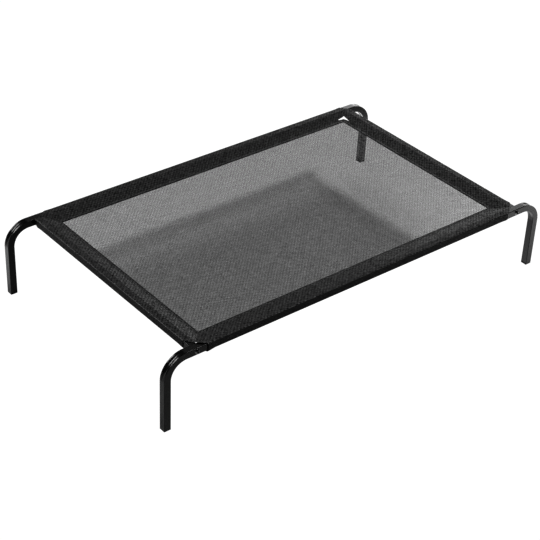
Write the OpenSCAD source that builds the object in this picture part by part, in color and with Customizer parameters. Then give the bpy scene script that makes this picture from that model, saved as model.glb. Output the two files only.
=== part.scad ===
// Raised dog cot: square-tube frame on four bent legs, with a mesh sheet
// that is stretched between sleeves round its side and end rails.
// +X runs along the length, +Y to the rear, +Z up. The origin is on the
// floor below the middle of the cot.

/* [Frame] */
// Overall length, over the outer faces of the legs
overall_l = 1301; // [1000:1:1600]
// Overall width, over the outer faces of the side tubes
overall_w = 746; // [500:2:1000]
// Height from the floor to the top of the tubes
overall_h = 215; // [170:1:300]
// How far the legs stand out past the end rails, outer face to outer face
leg_reach = 87; // [80:0.5:140]

/* [Tube] */
// Outer width of the square tube
tube_w = 20; // [18:0.5:22]
// Wall of the square tube
tube_wall = 1.2; // [0.8:0.1:1.8]
// Outer corner radius of the square tube
tube_r = 1.5; // [1.5:0.25:3]

/* [Legs] */
// Bend radius of the legs, at the tube's centre line
bend_r = 57; // [40:1:65]
// Straight part of a leg's arm, from the bend to the joint with the side rail
arm_l = 100; // [90:5:160]
// How far bending flattens the tube on its outer and on its inner side
flat_d = 1.3; // [0.8:0.1:2]
// Depth of the hollow that bending leaves in the outer wall, below the flattened edges
dish_d = 1.2; // [0.8:0.1:2]
// Depth of the hollow that bending leaves in the inner wall, below the flattened edges
crush_d = 1.6; // [0.8:0.1:2]
// Flat left between a hollow and the tube's round corner
hollow_edge = 2; // [1:0.1:3]
// Part of the bend, in degrees, that the hollows cover
hollow_span = 76; // [60:2:80]

/* [Spigots] */
// Length of a spigot inside the leg's arm
spigot_in_arm = 48; // [30:2:52]
// Length of a spigot inside the side rail
spigot_in_rail = 60; // [30:2:100]
// Wall of a spigot
spigot_wall = 1.5; // [1:0.1:2.5]
// Clearance between a spigot and the tube round it, on each side
spigot_fit = 0.15; // [0.1:0.05:0.3]

/* [Feet] */
// Thickness of a foot plug's flange
foot_flange_t = 3; // [2:0.5:6]
// Depth of the step round the bottom edge of the flange
foot_edge = 0.6; // [0.2:0.1:1]
// Length of a foot plug's stem inside the leg
foot_stem_l = 16; // [10:1:30]
// Wall of a foot plug's stem
foot_stem_wall = 2; // [1.5:0.25:3]
// Clearance between a foot plug's stem and the leg, on each side
foot_fit = 0.15; // [0.1:0.05:0.3]

/* [Corner bolts] */
// Diameter of a bolt's shank
bolt_d = 8; // [5:0.5:9]
// Length of a bolt's shank below its head
bolt_l = 35; // [33:1:60]
// Diameter of a bolt's head
bolt_head_d = 14; // [10:0.5:16]
// Height of a bolt's domed head
bolt_head_h = 4.4; // [3:0.1:6]
// Width of the hex socket, across its flats
bolt_hex = 5; // [3:0.5:6]
// Depth of the hex socket
bolt_hex_depth = 2.4; // [1.5:0.1:2.8]
// Clearance of the bolt in the leg's holes, on the diameter
bolt_hole_fit = 0.5; // [0.2:0.1:1]
// Clearance of the bolt in its thread, on the diameter
thread_fit = 0.1; // [0.05:0.05:0.2]
// Length of the threaded block in the end of an end rail
nut_l = 12; // [8:1:20]
// Clearance between a threaded block and the rail round it, on each side
nut_fit = 0.1; // [0.05:0.05:0.2]

/* [Sheet] */
// Thickness of one layer of the mesh cloth
cloth_t = 0.8; // [0.5:0.1:1.2]
// Gap between a sleeve and the tube inside it
sleeve_gap = 0.2; // [0.1:0.05:0.4]
// Width of the sleeve on the long sides, from the tube's outer face to the stitching
side_hem_w = 63.5; // [45:0.5:90]
// Width of the sleeve on the ends, from the tube's outer face to the stitching
end_hem_w = 59; // [45:1:90]
// Width of the band where the two layers of a sleeve are sewn together
stitch_band = 9; // [5:1:15]
// How far the sheet's corner is cut back along each edge
corner_cut = 44; // [40:1:50]
// Gap between the edges of the sheet's parts
seam_gap = 0.2; // [0.1:0.05:0.4]

/* [Hidden] */
$fn = 48;

// Length over the outer faces of the end rails
bed_l = overall_l - 2 * leg_reach;
// Centre lines of the tubes
side_y = overall_w / 2 - tube_w / 2;
end_x = bed_l / 2 - tube_w / 2;
leg_x = overall_l / 2 - tube_w / 2;
tube_z = overall_h - tube_w / 2;
// Where a leg's bend starts, and where its arm meets the side rail
bend_x = leg_x - bend_r;
joint_x = bend_x - arm_l;
// Bend: the half width of the hollows, the radius of their section, and how far the rings
// that cut the flats and hollows lie off its centre, so that they run out at both ends
hollow_w = tube_w / 2 - tube_r - hollow_edge;
dish_r = (pow(hollow_w, 2) + pow(dish_d, 2)) / (2 * dish_d);
crush_r = (pow(hollow_w, 2) + pow(crush_d, 2)) / (2 * crush_d);
flat_shift = flat_d / (1 - cos(hollow_span / 2));
dish_shift = (flat_d + dish_d) / (1 - cos(hollow_span / 2));
crush_shift = (flat_d + crush_d) / (1 - cos(hollow_span / 2));
// Inner size of the tube
bore_w = tube_w - 2 * tube_wall;
bore_r = max(tube_r - tube_wall, 0.3);
// Inner corner of the mesh panel, and the ends of the mitre and of the corner cut
panel_x = bed_l / 2 - end_hem_w;
panel_y = overall_w / 2 - side_hem_w;
mitre = corner_cut / (end_hem_w + side_hem_w);
mitre_x = bed_l / 2 - end_hem_w * mitre;
mitre_y = overall_w / 2 - side_hem_w * mitre;
cut_x = bed_l / 2 - corner_cut;
cut_y = overall_w / 2 - corner_cut;

frame_black = [0.08, 0.08, 0.085];
plastic_black = [0.05, 0.05, 0.05];
bolt_black = [0.12, 0.12, 0.12];
zinc = [0.6, 0.6, 0.58];
mesh_grey = [0.32, 0.32, 0.33];
hem_black = [0.14, 0.14, 0.145];

// Puts a piece that is drawn at the rear right corner at one of the four corners
module at_corner(sx, sy) {
    mirror([sx < 0 ? 1 : 0, 0, 0])
        mirror([0, sy < 0 ? 1 : 0, 0])
            children();
}

// Square with round corners, on its centre
module round_square(w, r) {
    square([w, w - 2 * r], center = true);
    square([w - 2 * r, w], center = true);
    for (x = [-1, 1], y = [-1, 1])
        translate([x * (w / 2 - r), y * (w / 2 - r)]) circle(r);
}

// Wall of a square tube that is w wide outside
module tube_section(w, wall, r) {
    difference() {
        round_square(w, r);
        round_square(w - 2 * wall, max(r - wall, 0.2));
    }
}

module frame_section() {
    tube_section(tube_w, tube_wall, tube_r);
}

// Extrudes a section along +X from x0 to x1, with its own X to the rear and its own Y up
module along_x(x0, x1) {
    translate([x0, 0, 0]) rotate([90, 0, 90]) linear_extrude(x1 - x0) children();
}

// Extrudes a section along Y from y0 to y1
module along_y(y0, y1) {
    translate([0, y1, 0]) rotate([90, 0, 0]) linear_extrude(y1 - y0) children();
}

module side_rail(sy) {
    color(frame_black)
        translate([0, sy * side_y, tube_z]) along_x(-joint_x, joint_x) frame_section();
}

module end_rail(sx) {
    color(frame_black)
        translate([sx * end_x, 0, tube_z])
            along_y(-(side_y - tube_w / 2), side_y - tube_w / 2) frame_section();
}

// Arm, bend and post of a leg as one filled bar, at the rear right corner
module leg_bar(w, r, past) {
    translate([0, side_y, tube_z]) along_x(joint_x - past, bend_x) round_square(w, r);
    translate([bend_x, side_y, tube_z - bend_r]) rotate([90, 0, 0])
        rotate_extrude(angle = 90) translate([bend_r, 0]) round_square(w, r);
    translate([leg_x, side_y, foot_flange_t - past])
        linear_extrude(tube_z - bend_r - foot_flange_t + past) round_square(w, r);
}

// Part of a ring with the given section, its centre moved by shift along the middle of
// the bend
module bend_ring(shift, ring_r) {
    turn = hollow_span + 20;
    translate([bend_x, side_y, tube_z - bend_r]) rotate([90, 0, 0]) rotate([0, 0, 45])
        translate([shift, 0, 0]) rotate([0, 0, -turn / 2])
            rotate_extrude(angle = turn) translate([ring_r, 0]) children();
}

// Flats and hollows that bending leaves on the outer and the inner side, deepest at the
// middle of the bend; grow moves them out by the wall, for the inside of the tube
module bend_hollows(grow) {
    block = tube_w + 2;
    bend_ring(-flat_shift, bend_r + tube_w / 2 - flat_d + flat_shift - grow)
        translate([0, -block / 2]) square(block);
    bend_ring(flat_shift, bend_r - tube_w / 2 + flat_d - flat_shift + grow)
        translate([-block, -block / 2]) square(block);
    bend_ring(-dish_shift, bend_r + tube_w / 2 - flat_d - dish_d + dish_shift + dish_r)
        circle(dish_r + grow);
    bend_ring(crush_shift, bend_r - tube_w / 2 + flat_d + crush_d - crush_shift - crush_r)
        circle(crush_r + grow);
}

// Leg: arm, bend and post in one tube, with the bolt's holes through the arm
module leg(sx, sy) {
    color(frame_black) at_corner(sx, sy) difference() {
        leg_bar(tube_w, tube_r, 0);
        bend_hollows(0);
        difference() {
            leg_bar(bore_w, bore_r, 1);
            bend_hollows(tube_wall);
        }
        translate([end_x, side_y, tube_z]) rotate([90, 0, 0])
            cylinder(h = tube_w + 2, d = bolt_d + bolt_hole_fit, center = true);
    }
}

module spigot(sx, sy) {
    w = bore_w - 2 * spigot_fit;
    color(frame_black) at_corner(sx, sy)
        translate([0, side_y, tube_z])
            along_x(joint_x - spigot_in_rail, joint_x + spigot_in_arm)
                tube_section(w, spigot_wall, bore_r);
}

// Foot plug: flange the size of the tube with a step round its lower edge, and a hollow stem
module foot(sx, sy) {
    w = bore_w - 2 * foot_fit;
    color(plastic_black) at_corner(sx, sy) translate([leg_x, side_y, 0]) {
        linear_extrude(foot_edge) round_square(tube_w - 2 * foot_edge, tube_r);
        translate([0, 0, foot_edge])
            linear_extrude(foot_flange_t - foot_edge) round_square(tube_w, tube_r);
        translate([0, 0, foot_flange_t])
            linear_extrude(foot_stem_l) tube_section(w, foot_stem_wall, bore_r);
    }
}

// Button head bolt on +Z, with the underside of its head at z = 0 and its shank below
module button_bolt() {
    dome_r = (pow(bolt_head_d / 2, 2) + pow(bolt_head_h, 2)) / (2 * bolt_head_h);
    difference() {
        union() {
            intersection() {
                translate([0, 0, bolt_head_h - dome_r]) sphere(dome_r);
                cylinder(h = bolt_head_h, d = bolt_head_d);
            }
            translate([0, 0, -bolt_l]) cylinder(h = bolt_l, d = bolt_d);
        }
        translate([0, 0, bolt_head_h - bolt_hex_depth])
            cylinder(h = bolt_hex_depth + 1, d = bolt_hex / cos(30), $fn = 6);
    }
}

module corner_bolts() {
    color(bolt_black) for (sx = [-1, 1], sy = [-1, 1]) at_corner(sx, sy)
        translate([end_x, overall_w / 2, tube_z]) rotate([-90, 0, 0]) button_bolt();
}

// Threaded blocks, flush with the ends of the end rails
module end_rail_nuts() {
    w = bore_w - 2 * nut_fit;
    rail_end = side_y - tube_w / 2;
    color(zinc) for (sx = [-1, 1], sy = [-1, 1]) at_corner(sx, sy)
        translate([end_x, 0, tube_z]) along_y(rail_end - nut_l, rail_end) difference() {
            round_square(w, bore_r);
            circle(d = bolt_d + thread_fit);
        }
}

module mesh_panel() {
    color(mesh_grey) translate([0, 0, tube_z])
        cube([2 * (panel_x - seam_gap), 2 * (panel_y - seam_gap), cloth_t], center = true);
}

// Points on an arc from a0 to a1 round (x, y)
function arc_points(x, y, r, a0, a1, n = 5) =
    [for (i = [0:n]) let (a = a0 + (a1 - a0) * i / n) [x + r * cos(a), y + r * sin(a)]];

// Outline of a sleeve that is drawn taut round the tube, off outside its faces, and comes
// together at a tip that is 2 * half thick. +X points to the middle of the cot.
function sleeve_points(off, tip, half) =
    let (
        c = tube_w / 2 - tube_r,
        r = tube_r + off,
        a = atan2(half - c, tip - c) + acos(r / norm([tip - c, half - c]))
    )
    concat(
        half > 0 ? [[tip, -half], [tip, half]] : [[tip, 0]],
        arc_points(c, c, r, a, 90),
        arc_points(-c, c, r, 90, 180),
        arc_points(-c, -c, r, 180, 270),
        arc_points(c, -c, r, 270, 360 - a)
    );

module sleeve_section(hem_w) {
    tip = hem_w - tube_w / 2;
    difference() {
        polygon(sleeve_points(sleeve_gap + cloth_t, tip, cloth_t));
        polygon(sleeve_points(sleeve_gap, tip - stitch_band, 0));
    }
}

// Sleeve on a long side, drawn at the front: mitred at the corners, with the corners cut off
module side_hem(sy) {
    past = tube_w;
    outline = [
        [panel_x - seam_gap, -panel_y], [mitre_x - seam_gap, -mitre_y],
        [cut_x, -overall_w / 2], [cut_x, -overall_w / 2 - past],
        [-cut_x, -overall_w / 2 - past], [-cut_x, -overall_w / 2],
        [-mitre_x + seam_gap, -mitre_y], [-panel_x + seam_gap, -panel_y]
    ];
    color(hem_black) at_corner(1, -sy) intersection() {
        translate([0, -side_y, tube_z]) along_x(-end_x, end_x) sleeve_section(side_hem_w);
        translate([0, 0, tube_z - tube_w]) linear_extrude(2 * tube_w) polygon(outline);
    }
}

// Sleeve on an end, drawn at the left
module end_hem(sx) {
    past = tube_w;
    outline = [
        [-panel_x, -panel_y], [-mitre_x, -mitre_y],
        [-bed_l / 2, -cut_y], [-bed_l / 2 - past, -cut_y],
        [-bed_l / 2 - past, cut_y], [-bed_l / 2, cut_y],
        [-mitre_x, mitre_y], [-panel_x, panel_y]
    ];
    color(hem_black) at_corner(-sx, 1) intersection() {
        translate([-end_x, 0, tube_z]) along_y(-side_y, side_y) sleeve_section(end_hem_w);
        translate([0, 0, tube_z - tube_w]) linear_extrude(2 * tube_w) polygon(outline);
    }
}

side_rail(-1);  // front_rail
side_rail(1);  // rear_rail
end_rail(-1);  // left_end_rail
end_rail(1);  // right_end_rail
leg(-1, -1);  // front_left_leg
leg(1, -1);  // front_right_leg
leg(-1, 1);  // rear_left_leg
leg(1, 1);  // rear_right_leg
spigot(-1, -1);  // front_left_spigot
spigot(1, -1);  // front_right_spigot
spigot(-1, 1);  // rear_left_spigot
spigot(1, 1);  // rear_right_spigot
foot(-1, -1);  // front_left_foot
foot(1, -1);  // front_right_foot
foot(-1, 1);  // rear_left_foot
foot(1, 1);  // rear_right_foot
corner_bolts();
end_rail_nuts();
mesh_panel();
side_hem(-1);  // front_hem
side_hem(1);  // rear_hem
end_hem(-1);  // left_hem
end_hem(1);  // right_hem
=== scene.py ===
import math

import bpy
from mathutils import Matrix, Vector


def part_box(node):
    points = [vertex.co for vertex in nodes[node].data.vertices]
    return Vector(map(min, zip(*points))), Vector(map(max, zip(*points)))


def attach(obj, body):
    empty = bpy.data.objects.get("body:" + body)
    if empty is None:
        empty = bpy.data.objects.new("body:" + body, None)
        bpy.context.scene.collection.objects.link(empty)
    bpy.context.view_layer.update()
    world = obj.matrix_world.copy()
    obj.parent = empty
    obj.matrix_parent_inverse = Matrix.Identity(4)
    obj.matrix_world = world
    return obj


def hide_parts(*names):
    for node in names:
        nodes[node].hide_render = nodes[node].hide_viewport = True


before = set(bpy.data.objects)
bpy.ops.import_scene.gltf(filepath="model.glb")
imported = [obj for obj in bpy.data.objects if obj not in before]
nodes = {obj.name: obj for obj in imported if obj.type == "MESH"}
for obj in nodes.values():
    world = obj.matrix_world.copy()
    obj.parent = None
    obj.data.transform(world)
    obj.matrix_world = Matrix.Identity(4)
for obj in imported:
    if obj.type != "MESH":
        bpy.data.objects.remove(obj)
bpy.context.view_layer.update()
mm = 0.001
print("frame loaded with", len(nodes), "nodes")

railLow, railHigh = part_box("front_rail")
endLow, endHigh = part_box("right_end_rail")
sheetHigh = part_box("mesh_panel")[1]

# places on the cot, read from the frame
cot = {
    "tube": railHigh.z - railLow.z,
    "tubeZ": (railHigh.z + railLow.z) / 2,
    "sideY": -(railHigh.y + railLow.y) / 2,
    "endX": (endHigh.x + endLow.x) / 2,
    "panelX": sheetHigh.x,
    "panelY": sheetHigh.y,
}
cot["outerX"] = cot["endX"] + cot["tube"] / 2
cot["outerY"] = cot["sideY"] + cot["tube"] / 2
# its four sides: whether each runs along x, and on which side of the middle it lies
sides = {"front": (True, -1), "rear": (True, 1), "left": (False, -1), "right": (False, 1)}


def placeOn(side, along, out, up):  # out from the cot's middle, up from the middle of the tubes
    alongX, sign = sides[side]
    x, y = (along, sign * out) if alongX else (sign * out, along)
    return (x, y, cot["tubeZ"] + up)


def spanOf(side):
    alongX = sides[side][0]
    longAxis, shortAxis = ("X", "Y") if alongX else ("Y", "X")
    return {
        "rail": cot["sideY"] if alongX else cot["endX"],
        "innerShort": cot["panel" + shortAxis],
        "innerLong": cot["panel" + longAxis],
        "outerShort": cot["outer" + shortAxis],
        "outerLong": cot["outer" + longAxis],
    }


def deselectAll():
    if bpy.context.object and bpy.context.object.mode != "OBJECT":
        bpy.ops.object.mode_set(mode="OBJECT")
    bpy.ops.object.select_all(action="DESELECT")


def finishPiece(piece, look, slotName, *replaced):
    piece.data.materials.clear()
    piece.data.materials.append(look.material)
    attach(piece, "root")
    if replaced:
        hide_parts(*replaced)


# camera
cameraView = {
    "lookAt": (-88.6 * mm, -78.1 * mm, 100 * mm),
    "azimuth": -40.09,
    "elevation": 33.68,
    "roll": 2.61,
    "distance": 4118.5 * mm,
    "focalPixels": 1507.6,
    "picturePixels": 540,
    "sensor": 36.0,
    "clipEnd": 100,
}


def addCamera(view):
    turn, rise, roll = (math.radians(view[k]) for k in ("azimuth", "elevation", "roll"))
    back = Vector((math.sin(turn) * math.cos(rise), -math.cos(turn) * math.cos(rise), math.sin(rise)))
    level = Vector((math.cos(turn), math.sin(turn), 0))
    upright = back.cross(level)
    right = level * math.cos(roll) + upright * math.sin(roll)
    up = upright * math.cos(roll) - level * math.sin(roll)
    bpy.ops.object.camera_add()
    camera = bpy.context.object
    camera.name = "photoCamera"
    place = Vector(view["lookAt"]) + back * view["distance"]
    camera.matrix_world = Matrix.Translation(place) @ Matrix((right, up, back)).transposed().to_4x4()
    camera.data.sensor_fit = "HORIZONTAL"
    camera.data.sensor_width = view["sensor"]
    camera.data.lens = view["sensor"] * view["focalPixels"] / view["picturePixels"]
    camera.data.clip_end = view["clipEnd"]
    bpy.context.scene.camera = camera


deselectAll()
addCamera(cameraView)
print("camera placed")


# shader nodes written as sums
class Wire:
    def __init__(self, look, socket):
        self.look = look
        self.socket = socket

    def __add__(self, other):
        return self.look.sum("ADD", self, other)

    def __radd__(self, other):
        return self.look.sum("ADD", other, self)

    def __sub__(self, other):
        return self.look.sum("SUBTRACT", self, other)

    def __rsub__(self, other):
        return self.look.sum("SUBTRACT", other, self)

    def __mul__(self, other):
        return self.look.sum("MULTIPLY", self, other)

    def __rmul__(self, other):
        return self.look.sum("MULTIPLY", other, self)

    def __truediv__(self, other):
        return self.look.sum("DIVIDE", self, other)

    def __gt__(self, other):
        return self.look.sum("GREATER_THAN", self, other)


class Look:
    def __init__(self, name, constants=None):
        self.material = bpy.data.materials.new(name)
        self.material.use_nodes = True
        self.tree = self.material.node_tree
        self.shader = self.tree.nodes["Principled BSDF"]
        for word, value in (constants or {}).items():
            self.feed(word, value)

    def plug(self, value, socket):
        if isinstance(value, Wire):
            self.tree.links.new(value.socket, socket)
        else:
            socket.default_value = value

    def feed(self, word, value):
        self.plug(value, self.shader.inputs[word])

    def node(self, kind, settings=None, sockets=None, out=0):
        made = self.tree.nodes.new(kind)
        for word, value in (settings or {}).items():
            setattr(made, word, value)
        for word, value in (sockets or {}).items():
            self.plug(value, made.inputs[word])
        return Wire(self, made.outputs[out])

    def sum(self, operation, *values):
        return self.node("ShaderNodeMath", {"operation": operation}, dict(enumerate(values)))

    def between(self, ends, share):
        low, high = ends
        return low + (high - low) * share

    def objectPoint(self):
        return self.node("ShaderNodeTexCoord", out="Object")

    def noise(self, scale, detail, roughness):
        sockets = {"Vector": self.objectPoint(), "Scale": scale, "Detail": detail, "Roughness": roughness}
        return self.node("ShaderNodeTexNoise", None, sockets)

    def grey(self, value):
        return self.node("ShaderNodeCombineColor", None, {"Red": value, "Green": value, "Blue": value})

    def parts(self, vector):
        split = self.node("ShaderNodeSeparateXYZ", None, {"Vector": vector}).socket.node
        return [Wire(self, socket) for socket in split.outputs]

    def ramp(self, value, start, end):
        sockets = {"Value": value, "From Min": start, "From Max": end}
        return self.node("ShaderNodeMapRange", {"interpolation_type": "SMOOTHSTEP"}, sockets)

    def dice(self, *numbers):
        place = self.node("ShaderNodeCombineXYZ", None, dict(zip("XY", numbers)))
        return self.node("ShaderNodeTexWhiteNoise", {"noise_dimensions": "2D"}, {"Vector": place})

    def bump(self, height, strength, distance):
        sockets = {"Height": height, "Strength": strength, "Distance": distance}
        self.feed("Normal", self.node("ShaderNodeBump", None, sockets))


# in the finishes below, a noise is given by its scale, detail and roughness, and what it changes by the
# lowest and the highest value

# powder coat on the steel tubes
powderCoat = {
    "grey": 0.004,
    "shade": (0.7, 1.3),
    "shine": 0.16,
    "roughness": (0.16, 0.26),
    "smudge": (14.0, 4.0, 0.6),
    "peel": (420.0, 1.0, 0.5),
    "peelBump": 0.25,
    "peelDepth": 0.04 * mm,
}


def powderCoatLook(coat):
    look = Look("powderCoat", {"Specular IOR Level": coat["shine"]})
    smudge = look.noise(*coat["smudge"])
    look.feed("Base Color", look.grey(coat["grey"] * look.between(coat["shade"], smudge)))
    look.feed("Roughness", look.between(coat["roughness"], smudge))
    look.bump(look.noise(*coat["peel"]), coat["peelBump"], coat["peelDepth"])
    return look


# moulded foot plugs
footPlastic = {
    "grey": 0.006,
    "shade": (0.8, 1.2),
    "roughness": (0.55, 0.7),
    "grain": (900.0, 2.0, 0.6),
    "grainBump": 0.4,
    "grainDepth": 0.04 * mm,
}


def footPlasticLook(plastic):
    look = Look("footPlastic")
    grain = look.noise(*plastic["grain"])
    look.feed("Base Color", look.grey(plastic["grey"] * look.between(plastic["shade"], grain)))
    look.feed("Roughness", look.between(plastic["roughness"], grain))
    look.bump(grain, plastic["grainBump"], plastic["grainDepth"])
    return look


# black oxide on the bolts, with painted shade in the socket, and zinc on the hidden nuts
boltBlack = {
    "grey": 0.1,
    "shade": (0.75, 1.25),
    "roughness": (0.15, 0.35),
    "scratch": (260.0, 3.0, 0.7),
    "socketPaintedShade": 0.1,
    "socketEdge": (2.32 * mm, 2.9 * mm),
}
nutZinc = {
    "grey": 0.55,
    "shade": (0.75, 1.25),
    "roughness": (0.35, 0.55),
    "scratch": (300.0, 3.0, 0.7),
}


def boltLook(name, finish):
    look = Look(name, {"Metallic": 1.0})
    scratch = look.noise(*finish["scratch"])
    shade = look.between(finish["shade"], scratch)
    # the socket is darkened in colour: painted shade, as no light gets into it
    if "socketPaintedShade" in finish:  # no light gets into the socket
        x, y, z = look.parts(look.objectPoint())
        offX, offZ = look.sum("ABSOLUTE", x) - cot["endX"], z - cot["tubeZ"]
        fromAxis = look.sum("SQRT", offX * offX + offZ * offZ)
        shade = shade * look.between((finish["socketPaintedShade"], 1), look.ramp(fromAxis, *finish["socketEdge"]))
    look.feed("Base Color", look.grey(finish["grey"] * shade))
    look.feed("Roughness", look.between(finish["roughness"], scratch))
    return look


# the woven cloth: a basket weave, two yarns over two and two under two. Slubs are the thick and thin
# lengths of a pair of yarns, and each yarn has a shade of its own wherever it lies on top
wovenCloth = {
    "pitch": 2.65 * mm,
    "wave": 0.3,
    "slubShift": 0.37,
    "slubRoughness": 0.1,
    "gapPaintedShade": 0.5,
    "darkest": 0.1,
    "yarnHeight": 0.35 * mm,
    "yarnBump": 0.4,
}
# the single layer; clear is the share of light that passes a hole or a yarn
meshCloth = dict(
    wovenCloth, grey=0.085, fill=0.5, shine=0.1, roughness=0.5,
    slubLength=6, slubShade=0.3, basketPaintedSheen=0.35, yarnShade=1.7,
    holeClear=0.4, yarnClear=0.16, basketClear=0.17, slubClear=0.08,
)
# the doubled cloth of the hems lets no light through. The yarns on top are crowned and glint, the warp more
# than the weft. It carries painted shade by the fold at its inner edge and a painted highlight along the
# tube's top edge, where it is also polished smoother, and its pattern and glint fade below that edge
hemCloth = dict(
    wovenCloth, grey=0.036, fill=0.7, shine=0.007, roughness=0.25,
    slubLength=3, slubShade=0.2, basketPaintedSheen=0.33, yarnShade=0.9,
    crown=1.3, glint=0.17, weftGlint=0.35, glintRoughness=0.3,
    foldPaintedShade=0.6, foldEdge=(9.4 * mm, 13.4 * mm),
    polishAndPaintedHighlight=1.2, highlightAndPolishEdge=(0.48 * mm, 1.6 * mm), rubbedPolish=0.2,
    patternFade=0.7, patternFadeWidth=2 * mm,
)
# these keep the chances of one set of yarns apart from those of the other
yarnSeeds = {"warpSlub": 0, "weftSlub": 91, "warpShade": 37, "weftShade": 74}


def weaveLook(name, cloth, place, edge=None):
    look = Look(name, {"Specular IOR Level": cloth["shine"]})
    across, along = look.parts(place(look))[:2]
    warpTurn, weftTurn = across / cloth["pitch"], along / cloth["pitch"]
    warpPair, weftPair = look.sum("FLOOR", warpTurn / 2), look.sum("FLOOR", weftTurn / 2)
    basket = look.sum("COSINE", math.pi * (warpPair + weftPair))  # 1 where the warp is on top, else -1
    warpOnTop = 0.5 + 0.5 * basket

    def upper(warpValue, weftValue):
        return warpOnTop * warpValue + (1 - warpOnTop) * weftValue

    def yarnRound(turn):
        off = (turn - look.sum("FLOOR", turn) - 0.5) / (0.5 * cloth["fill"])
        return look.sum("MAXIMUM", 1 - off * off, 0)

    def slub(pair, crossTurn, seed):
        length = look.sum("FLOOR", crossTurn / cloth["slubLength"] + cloth["slubShift"] * pair)
        return look.dice(pair + seed, length) - 0.5

    def ownShade(turn, crossPair, seed):
        return look.dice(look.sum("FLOOR", turn) + seed, crossPair)

    def crown(turn):  # a pair of yarns rises in the middle of the two that it passes over
        off = turn - 2 * look.sum("FLOOR", turn / 2) - 1
        return 1 - off * off

    slubs = slub(warpPair, weftTurn, yarnSeeds["warpSlub"]) + slub(weftPair, warpTurn, yarnSeeds["weftSlub"])
    level, wave = 1 - cloth["wave"], cloth["wave"] * basket
    warpHeight = yarnRound(warpTurn) * (level + wave)
    weftHeight = yarnRound(weftTurn) * (level - wave)
    height = look.sum("MAXIMUM", warpHeight, weftHeight)
    warpShade = ownShade(warpTurn, weftPair, yarnSeeds["warpShade"])
    weftShade = ownShade(weftTurn, warpPair, yarnSeeds["weftShade"])
    topShade = upper(warpShade, weftShade)
    # lighter where the warp lies on top and darker where the weft does, a painted sheen of the floats; the
    # slubs and each yarn's own shade are random tone
    pattern = cloth["slubShade"] * slubs + cloth["basketPaintedSheen"] * basket
    pattern = pattern + cloth["yarnShade"] * (topShade - 0.5)
    if edge:
        # below the tube's top edge the pattern, painted sheen included, and the glint fade
        uneven = 1 - cloth["patternFade"] * look.ramp(along, edge, edge + cloth["patternFadeWidth"])
        pattern = pattern * uneven
    shade = look.sum("MAXIMUM", 1 + pattern, cloth["darkest"])
    roughness = cloth["roughness"] + cloth["slubRoughness"] * slubs
    if edge:
        # painted shade by the fold at the inner edge
        shade = shade * look.between((cloth["foldPaintedShade"], 1), look.ramp(along, *cloth["foldEdge"]))
        # along the tube's top edge the colour is lightened, a painted highlight, and the roughness is lowered
        # by polish
        polishAndPaintedHighlight = 1 - look.ramp(look.sum("ABSOLUTE", along - edge), *cloth["highlightAndPolishEdge"])
        shade = shade * (1 + cloth["polishAndPaintedHighlight"] * polishAndPaintedHighlight)
        roughness = roughness - cloth["rubbedPolish"] * polishAndPaintedHighlight
        glint = cloth["glint"] * uneven * look.between((cloth["weftGlint"], 1), warpOnTop) * topShade
        look.feed("Coat Weight", glint)
        look.feed("Coat Roughness", cloth["glintRoughness"])
    # the gaps between the yarns are darkened in colour: painted shade
    look.feed("Base Color", look.grey(cloth["grey"] * shade * look.between((cloth["gapPaintedShade"], 1), height)))
    look.feed("Roughness", roughness)
    if "holeClear" in cloth:
        clear = look.between((cloth["holeClear"], cloth["yarnClear"]), height > 0)
        clear = clear * (1 + cloth["basketClear"] * basket + cloth["slubClear"] * slubs)
        look.feed("Alpha", 1 - clear)
    if "crown" in cloth:
        height = height + cloth["crown"] * upper(crown(weftTurn), crown(warpTurn))
    look.bump(height, cloth["yarnBump"], cloth["yarnHeight"])
    return look


def onObject(look):
    return look.objectPoint()


def onCloth(look):
    return look.node("ShaderNodeUVMap", {"uv_map": "cloth"})


# sewing thread
sewingThread = {
    "grey": 0.06,
    "shade": (0.6, 1.4),
    "roughness": 0.45,
    "twist": (1800.0, 1.0, 0.5),
    "twistBump": 0.5,
    "twistDepth": 0.1 * mm,
}


def threadLook(thread):
    look = Look("sewingThread", {"Roughness": thread["roughness"]})
    twist = look.noise(*thread["twist"])
    look.feed("Base Color", look.grey(thread["grey"] * look.between(thread["shade"], twist)))
    look.bump(twist, thread["twistBump"], thread["twistDepth"])
    return look


coatLook = powderCoatLook(powderCoat)
nodeLooks = {
    "foot": footPlasticLook(footPlastic),
    "bolts": boltLook("boltBlack", boltBlack),
    "nuts": boltLook("nutZinc", nutZinc),
}
panelLook = weaveLook("meshWeave", meshCloth, onObject)
sewingLook = threadLook(sewingThread)

for name, node in nodes.items():
    look = next((nodeLooks[word] for word in nodeLooks if name.endswith(word)), coatLook)
    node.data.materials.clear()
    node.data.materials.append(look.material)
print("materials made")


# mesh panel
panelCut = {"lap": 8 * mm, "sag": 4 * mm, "columns": 120, "rows": 74}


def makePanel(cut):
    deselectAll()
    bpy.ops.mesh.primitive_grid_add(x_subdivisions=cut["columns"], y_subdivisions=cut["rows"], size=2)
    panel = bpy.context.object
    panel.name = "meshPanel"
    reachX = cot["panelX"] + cut["lap"]
    reachY = cot["panelY"] + cut["lap"]
    for point in panel.data.vertices:
        x, y = point.co.x * reachX, point.co.y * reachY
        slack = max(0, 1 - (x / cot["panelX"]) ** 2) * max(0, 1 - (y / cot["panelY"]) ** 2)
        point.co = (x, y, cot["tubeZ"] - cut["sag"] * slack)
    bpy.ops.object.shade_smooth()
    finishPiece(panel, panelLook, "mesh", "mesh_panel")
    return panel, (2 * reachY, 2 * reachX)


meshPanel, panelFlat = makePanel(panelCut)
print("panel made")


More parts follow.
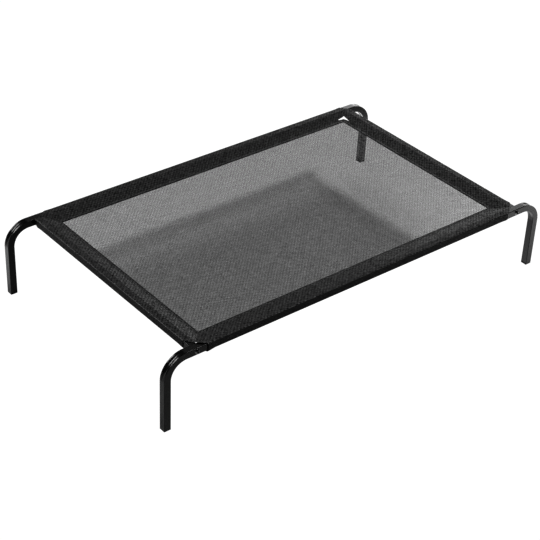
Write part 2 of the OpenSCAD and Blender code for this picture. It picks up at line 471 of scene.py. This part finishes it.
# hems: a strip folded round each rail, with its raw edges turned under
hemCut = {
    "clear": 0.9 * mm,
    "corner": 1.8 * mm,
    "turnUnder": 8 * mm,
    "foldRadius": 0.3 * mm,
    "seamTop": 0.95 * mm,
    "band": 9 * mm,
    "columns": 170,
    "pucker": 0.25 * mm,
    "puckerLength": 17 * mm,
    "puckerDrift": (1.7, 9),
    "puckerPlace": 4 * mm,
    "puckerWidth": 7 * mm,
    "underCut": 36 * mm,
    "underEase": 30 * mm,
    "mouthReach": 26 * mm,
    "mouthEase": 18 * mm,
    "mitreLap": 0.4 * mm,
    "endGap": 2 * mm,
    "slitStart": 3 * mm,
    "slitOpening": 3 * mm,
    "slitEnd": 12 * mm,
    "slitClosing": 6 * mm,
}
# faces on each stretch of the folded strip, from its raw edge to the outer side of the tube
hemSteps = {
    "turnUnder": 3,
    "fold": 6,
    "band": 5,
    "slope": 14,
    "innerCorner": 4,
    "top": 4,
    "outerCorner": 6,
    "side": 3,
}
# how far the cloth of each corner is cut back along the side rail and along the end rail, how far the cut
# swells out between, how far the slit between its two hems stands open, and how far the cut edges lift
plainCorner = {"slit": 0, "mouth": (0.8 * mm, 0.8 * mm)}
cornerCuts = {
    ("front", "left"): {"cut": (41 * mm, 43 * mm), "swell": 5 * mm, "mouth": (2.2 * mm, 0.7 * mm)},
    ("front", "right"): {"cut": (45 * mm, 37 * mm), "swell": 4 * mm},
    ("rear", "left"): {"cut": (42 * mm, 30 * mm), "swell": 4 * mm},
    ("rear", "right"): {"cut": (23 * mm, 30 * mm), "swell": 2 * mm, "slit": 27 * mm},
}


def cornersOf(side):
    if sides[side][0]:
        return [dict(plainCorner, **cornerCuts[(side, end)]) for end in ("left", "right")]
    corners = [dict(plainCorner, **cornerCuts[(end, side)]) for end in ("front", "rear")]
    return [dict(corner, cut=corner["cut"][::-1], mouth=corner["mouth"][::-1]) for corner in corners]


def arc(centreU, centreV, radius, first, last, steps):
    angles = [math.radians(first + (last - first) * i / steps) for i in range(steps + 1)]
    return [(centreU + radius * math.cos(a), centreV + radius * math.sin(a)) for a in angles]


def line(first, last, steps):
    return [
        tuple(a + (b - a) * i / steps for a, b in zip(first, last))
        for i in range(1, steps + 1)
    ]


def ease(value):
    value = min(max(value, 0), 1)
    return value * value * (3 - 2 * value)


def sleeveProfile(tip, cut, steps):
    middle = cot["tube"] / 2 - cut["corner"]
    radius = cut["corner"] + cut["clear"]
    fold, top = cut["foldRadius"], cut["seamTop"]
    points = [(tip - cut["turnUnder"], top - 2 * fold)]
    points += line(points[-1], (tip - fold, top - 2 * fold), steps["turnUnder"])
    points += arc(tip - fold, top - fold, fold, -90, 90, steps["fold"])[1:]
    points += line(points[-1], (tip - cut["band"], top), steps["band"])
    reach = Vector((points[-1][0] - middle, points[-1][1] - middle))
    touch = math.degrees(math.atan2(reach.y, reach.x) + math.acos(radius / reach.length))
    innerCorner = arc(middle, middle, radius, touch, 90, steps["innerCorner"])
    points += line(points[-1], innerCorner[0], steps["slope"]) + innerCorner[1:]
    outerCorner = arc(-middle, middle, radius, 90, 180, steps["outerCorner"])
    points += line(points[-1], outerCorner[0], steps["top"]) + outerCorner[1:]
    points += line(points[-1], (-middle - radius, 0), steps["side"])
    under = [(u, -v) for u, v in reversed(points[:-1])]
    return points + under


def reachAlong(u, under, span, corner, cut):
    short = span["rail"] - u  # place across the hem, from the middle of the cot
    slope = (span["outerLong"] - span["innerLong"]) / (span["outerShort"] - span["innerShort"])
    mitre = span["innerLong"] + (short - span["innerShort"]) * slope + cut["mitreLap"]
    fromFace = span["outerShort"] - short
    fromBand = short - span["innerShort"] - cut["band"]
    slit = ease((fromBand - cut["slitStart"]) / cut["slitOpening"])
    if not under:
        slit *= ease((cut["slitEnd"] - fromBand) / cut["slitClosing"])  # the top closes again before the rail
    mitre -= corner["slit"] * slit
    cutLong, cutShort = corner["cut"]
    share = fromFace / cutShort
    trimmed = span["outerLong"] - cutLong * (1 - share)
    trimmed += corner["swell"] * max(0, 4 * share * (1 - share))
    return min(mitre, trimmed - cut["underCut"] * under, span["outerLong"] - cut["endGap"])


def makeHem(side, cut):
    span, corners = spanOf(side), cornersOf(side)
    tip = span["rail"] - span["innerShort"]
    profile = sleeveProfile(tip, cut, hemSteps)
    spread = [0.0]
    for before, after in zip(profile, profile[1:]):
        spread.append(spread[-1] + math.dist(before, after))
    topEdge = max(zip(profile, spread), key=lambda pair: pair[0][1] - pair[0][0])[1]
    rows = len(profile) - 1
    drift, driftRate = cut["puckerDrift"]
    deselectAll()
    bpy.ops.mesh.primitive_grid_add(x_subdivisions=cut["columns"], y_subdivisions=rows, size=1)
    hem = bpy.context.object
    hem.name = side + "Hem"
    places = []
    for point in hem.data.vertices:
        row = round((point.co.y + 0.5) * rows)
        share = point.co.x + 0.5
        u, v = profile[row]
        under = ease((spread[row] - spread[-1] / 2 - cot["tube"] / 2) / cut["underEase"])
        reaches = [reachAlong(u, under, span, corner, cut) for corner in corners]
        along = -reaches[0] + sum(reaches) * share
        places.append((along, spread[row]))
        window = math.exp(-(((u - tip + cut["band"] + cut["puckerPlace"]) / cut["puckerWidth"]) ** 2))
        wave = math.sin(2 * math.pi * along / cut["puckerLength"] + drift * math.sin(driftRate * along))
        v += cut["pucker"] * window * wave * (1 if row < rows / 2 else -1)
        gaps = (along + reaches[0], reaches[1] - along)
        lift = sum(c["mouth"][0] * ease(1 - gap / cut["mouthReach"]) for c, gap in zip(corners, gaps))
        lift *= ease((tip - cut["band"] - u) / cut["mouthEase"]) * (1 - under)
        outward = Vector((min(u, 0), v)).normalized()
        u, v = u + lift * outward.x, v + lift * outward.y
        point.co = placeOn(side, along, span["rail"] - u, v)
    sheetMap = hem.data.uv_layers.active
    sheetMap.name = "cloth"
    for corner in hem.data.loops:
        sheetMap.data[corner.index].uv = places[corner.vertex_index]
    bpy.ops.object.mode_set(mode="EDIT")
    bpy.ops.mesh.select_all(action="SELECT")
    bpy.ops.mesh.normals_make_consistent(inside=False)
    bpy.ops.object.mode_set(mode="OBJECT")
    bpy.ops.object.shade_smooth()
    finishPiece(hem, weaveLook(hem.name + "Weave", hemCloth, onCloth, topEdge), "hem", side + "_hem")
    return hem, (spread[-1], 2 * span["outerLong"])


hems = {side: makeHem(side, hemCut) for side in sides}
print("hems made")


# a row of stitches on the top and the underside of each hem
stitchRow = {
    "length": 3.4 * mm,
    "pitch": 4.6 * mm,
    "radius": 0.45 * mm,
    "roundness": 6,
    "knee": 0.3,
    "fromTip": 6 * mm,
    "dip": 0.5 * mm,
    "inset": 8 * mm,
}


def makeStitches(side, row):
    span = spanOf(side)
    deselectAll()
    bpy.ops.mesh.primitive_cylinder_add(vertices=row["roundness"], radius=row["radius"], depth=row["length"],
                                        rotation=(0, math.pi / 2, 0))
    stitches = bpy.context.object
    stitches.name = side + "Stitches"
    bpy.ops.object.transform_apply(location=False, rotation=True, scale=False)
    bpy.ops.object.mode_set(mode="EDIT")
    knee = row["knee"] * row["length"]
    for place in (-knee, knee):
        bpy.ops.mesh.select_all(action="SELECT")
        bpy.ops.mesh.bisect(plane_co=(place, 0, 0), plane_no=(1, 0, 0))
    bpy.ops.mesh.select_all(action="DESELECT")
    bpy.ops.object.mode_set(mode="OBJECT")
    for point in stitches.data.vertices:  # the two ends dip into the cloth
        point.select = abs(point.co.x) > (knee + row["length"] / 2) / 2
    bpy.ops.object.mode_set(mode="EDIT")
    bpy.ops.transform.translate(value=(0, 0, -row["dip"]))
    bpy.ops.object.mode_set(mode="OBJECT")
    for point in stitches.data.vertices:
        point.select = True
    reach = span["innerLong"] - row["inset"]
    count = int(2 * reach / row["pitch"])
    bpy.ops.object.mode_set(mode="EDIT")
    bpy.ops.transform.translate(value=(-(count - 1) * row["pitch"] / 2, 0, hemCut["seamTop"]))
    bpy.ops.object.mode_set(mode="OBJECT")
    copies = stitches.modifiers.new("row", "ARRAY")
    copies.count = count
    copies.use_relative_offset = False
    copies.use_constant_offset = True
    copies.constant_offset_displace = (row["pitch"], 0, 0)
    bpy.ops.object.modifier_apply(modifier="row")
    mirrored = stitches.modifiers.new("underside", "MIRROR")
    mirrored.use_axis = (False, False, True)
    bpy.ops.object.modifier_apply(modifier="underside")
    stitches.location = placeOn(side, 0, span["innerShort"] + row["fromTip"], 0)
    stitches.rotation_euler.z = 0 if sides[side][0] else math.pi / 2
    bpy.ops.object.transform_apply(location=True, rotation=True, scale=True)
    bpy.ops.object.shade_smooth()
    finishPiece(stitches, sewingLook, "hem")
    return stitches


stitchRows = {side: makeStitches(side, stitchRow) for side in sides}
print("stitches made")


# floor and light
stage = {
    "floorSize": 60.0,
    "mirroredLift": 0.5 * mm,
    "boxDistance": 8.0,
    "roomGrey": 0.03,
    "backdropGrey": 1.0,
    "gamma": 0.7,
}
# bare floor is burnt out to white; through the cloth it shows its own light and shadow
floorPaint = {"grey": 0.9, "roughness": 0.9, "glow": 0.42, "burntOut": 1.05}
# the key and the back light cast the shadow of the cloth and rails, which shows through the mesh
suns = {
    "keyLight": {"towards": (0.538, -0.147, 1), "floorShare": 0.58, "angle": 10},
    "backLight": {"towards": (0, 0.559, 1), "floorShare": 0.29, "angle": 33},
}
# plates under the corners stand in for the leg arms in that shadow, and nothing sees them
shadowPlate = {"size": 50 * mm, "reach": 9 * mm, "drop": 1.5 * mm}
# soft boxes behind the cot, mirrored in the bends and along the edges of the hems
softBoxes = {
    "softBoxLeft": {"azimuth": -33, "elevation": 37, "roll": 36, "size": (1.7, 4.0), "radiance": 38},
    "softBoxRight": {"azimuth": 51, "elevation": 17, "roll": 0, "size": (2.9, 4.2), "radiance": 6},
    "softBoxWide": {"azimuth": 40, "elevation": 34, "roll": 0, "size": (4.4, 3.4), "radiance": 0.9},
}
# wide lamps over the bare floor on both sides
floorSpills = {
    "spillRight": {"place": (0.85, -0.6, 0.6), "size": 0.3, "floorShare": 1.3},
    "spillLeft": {"place": (-0.85, 0.2, 0.4), "size": 0.3, "floorShare": 0.4},
}
# brighter ones that only the legs mirror
floorWashes = {
    "washRight": {"place": (0.85, -0.6, 0.4), "size": 0.3, "floorShare": 3.6},
    "washLeft": {"place": (-0.85, 0.55, 0.25), "size": 0.2, "floorShare": 2.4},
}
# lit cards on the floor, seen only in the legs on the right
floorCards = {
    "cardFront": {"place": (0.51, -0.255, 0.005), "size": 0.24, "radiance": 2.5},
    "cardRight": {"place": (0.74, 0.26, 0.005), "size": 0.22, "radiance": 7},
    "cardRear": {"place": (0.51, 0.5, 0.005), "size": 0.24, "radiance": 8},
}
rayKinds = ("camera", "diffuse", "glossy", "transmission", "volume_scatter", "shadow")


def opaqueGrey(value):
    return (value, value, value, 1)


def floorLook(paint):
    look = Look("floorPaint", {
        "Base Color": opaqueGrey(paint["grey"]),
        "Roughness": paint["roughness"],
        "Emission Strength": paint["glow"],
    })
    look.feed("Emission Color", look.grey(1 - look.node("ShaderNodeLightPath", out="Is Diffuse Ray")))
    seen = look.node("ShaderNodeLightPath", out="Is Camera Ray")
    behindCloth = look.node("ShaderNodeLightPath", out="Transparent Depth") > 0.5
    white = look.node("ShaderNodeEmission", None, {"Strength": paint["burntOut"]})
    paintWire = Wire(look, look.shader.outputs[0])
    mixed = look.node("ShaderNodeMixShader", None, {0: seen * (1 - behindCloth), 1: paintWire, 2: white})
    look.tree.links.new(mixed.socket, look.tree.nodes["Material Output"].inputs["Surface"])
    return look


def addStagePlane(name, size, place, seenBy):
    deselectAll()
    bpy.ops.mesh.primitive_plane_add(size=size, location=place)
    plane = bpy.context.object
    plane.name = name
    for rays in rayKinds:
        setattr(plane, "visible_" + rays, rays in seenBy)
    return plane


def addFloor(name, look, lift, seenBy):
    floor = addStagePlane(name, stage["floorSize"], (0, 0, lift), seenBy)
    floor.data.materials.append(look.material)
    return floor


def addShadowPlate(plate, sideX, sideY):
    inset = plate["size"] / 2 - plate["reach"]
    x, y = sideX * (cot["outerX"] - inset), sideY * (cot["outerY"] - inset)
    z = cot["tubeZ"] - cot["tube"] / 2 - plate["drop"]
    return addStagePlane("shadowPlate", plate["size"], (x, y, z), ("shadow",))


def addLamp(name, kind, towards, place=(0, 0, 0)):
    deselectAll()
    bpy.ops.object.light_add(type=kind, location=place)
    lamp = bpy.context.object
    lamp.name = name
    lamp.rotation_euler = Vector(towards).to_track_quat("Z", "Y").to_euler()
    return lamp


def addSun(name, setting):
    lamp = addLamp(name, "SUN", setting["towards"])
    rise = Vector(setting["towards"]).normalized().z
    lamp.data.energy = setting["floorShare"] * math.pi / (floorPaint["grey"] * rise)
    lamp.data.angle = math.radians(setting["angle"])
    return lamp


def addSoftBox(name, setting):
    turn, rise = math.radians(setting["azimuth"]), math.radians(setting["elevation"])
    towards = Vector((math.sin(turn) * math.cos(rise), math.cos(turn) * math.cos(rise), math.sin(rise)))
    lamp = addLamp(name, "AREA", towards, towards * stage["boxDistance"])
    lamp.rotation_euler.rotate_axis("Z", math.radians(setting["roll"]))
    lamp.data.shape = "RECTANGLE"
    lamp.data.size, lamp.data.size_y = setting["size"]
    lamp.data.energy = setting["radiance"] * math.pi * setting["size"][0] * setting["size"][1]
    return lamp


def addWash(name, setting):
    lamp = addLamp(name, "AREA", (0, 0, 1), setting["place"])
    lamp.data.size = setting["size"]
    rise = setting["place"][2]
    lamp.data.energy = setting["floorShare"] * (math.pi * rise) ** 2 / floorPaint["grey"]
    return lamp


def addCard(name, setting):
    lamp = addLamp(name, "AREA", (0, 0, -1), setting["place"])
    lamp.data.size = setting["size"]
    lamp.data.energy = setting["radiance"] * math.pi * setting["size"] ** 2
    lamp.visible_camera = False
    return lamp


def groupOf(name, pieces):
    group = bpy.data.collections.new(name)
    for piece in pieces:
        group.objects.link(piece)
    return group


def lightOnly(lamp, pieces):
    lamp.light_linking.receiver_collection = groupOf(lamp.name + "Lit", pieces)


def addWorld(setting):
    world = bpy.data.worlds.new("studioWorld")
    world.use_nodes = True
    tree = world.node_tree
    room = tree.nodes["Background"]
    room.inputs["Color"].default_value = opaqueGrey(setting["roomGrey"])
    backdrop = tree.nodes.new("ShaderNodeBackground")
    backdrop.inputs["Color"].default_value = opaqueGrey(setting["backdropGrey"])
    seen = tree.nodes.new("ShaderNodeLightPath")
    mixed = tree.nodes.new("ShaderNodeMixShader")
    tree.links.new(seen.outputs["Is Camera Ray"], mixed.inputs[0])
    tree.links.new(room.outputs[0], mixed.inputs[1])
    tree.links.new(backdrop.outputs[0], mixed.inputs[2])
    tree.links.new(mixed.outputs[0], tree.nodes["World Output"].inputs["Surface"])
    bpy.context.scene.world = world


# the legs mirror a floor of their own, and only on that one do the washes shine. It lies clear of the other,
# which would shade it
floorPaintLook = floorLook(floorPaint)
floor = addFloor("studioFloor", floorPaintLook, 0, [rays for rays in rayKinds if rays != "glossy"])
mirroredFloor = addFloor("mirroredFloor", floorPaintLook, stage["mirroredLift"], ["glossy"])
rails = [node for name, node in nodes.items() if name.endswith("rail")]
plates = [addShadowPlate(shadowPlate, sideX, sideY) for sideX in (-1, 1) for sideY in (-1, 1)]
cloths = [meshPanel] + [hem for hem, flat in hems.values()] + list(stitchRows.values())
for name, setting in suns.items():
    lamp = addSun(name, setting)
    lamp.light_linking.blocker_collection = groupOf(name + "Blockers", cloths + rails + plates)
    if name == "backLight":
        lightOnly(lamp, [floor, mirroredFloor] + cloths)
for name, setting in softBoxes.items():
    lightOnly(addSoftBox(name, setting), list(nodes.values()) + cloths[1:])
for name, setting in floorWashes.items():
    lightOnly(addWash(name, setting), [mirroredFloor])
for name, setting in floorSpills.items():
    lightOnly(addWash(name, setting), [floor])
for name, setting in floorCards.items():
    lightOnly(addCard(name, setting), nodes.values())
addWorld(stage)
bpy.context.scene.view_settings.view_transform = "Standard"
bpy.context.scene.view_settings.gamma = stage["gamma"]
print("floor and lights placed")

for side, (hem, flat) in hems.items():
    rail = side + ("_rail" if side in ("front", "rear") else "_end_rail")
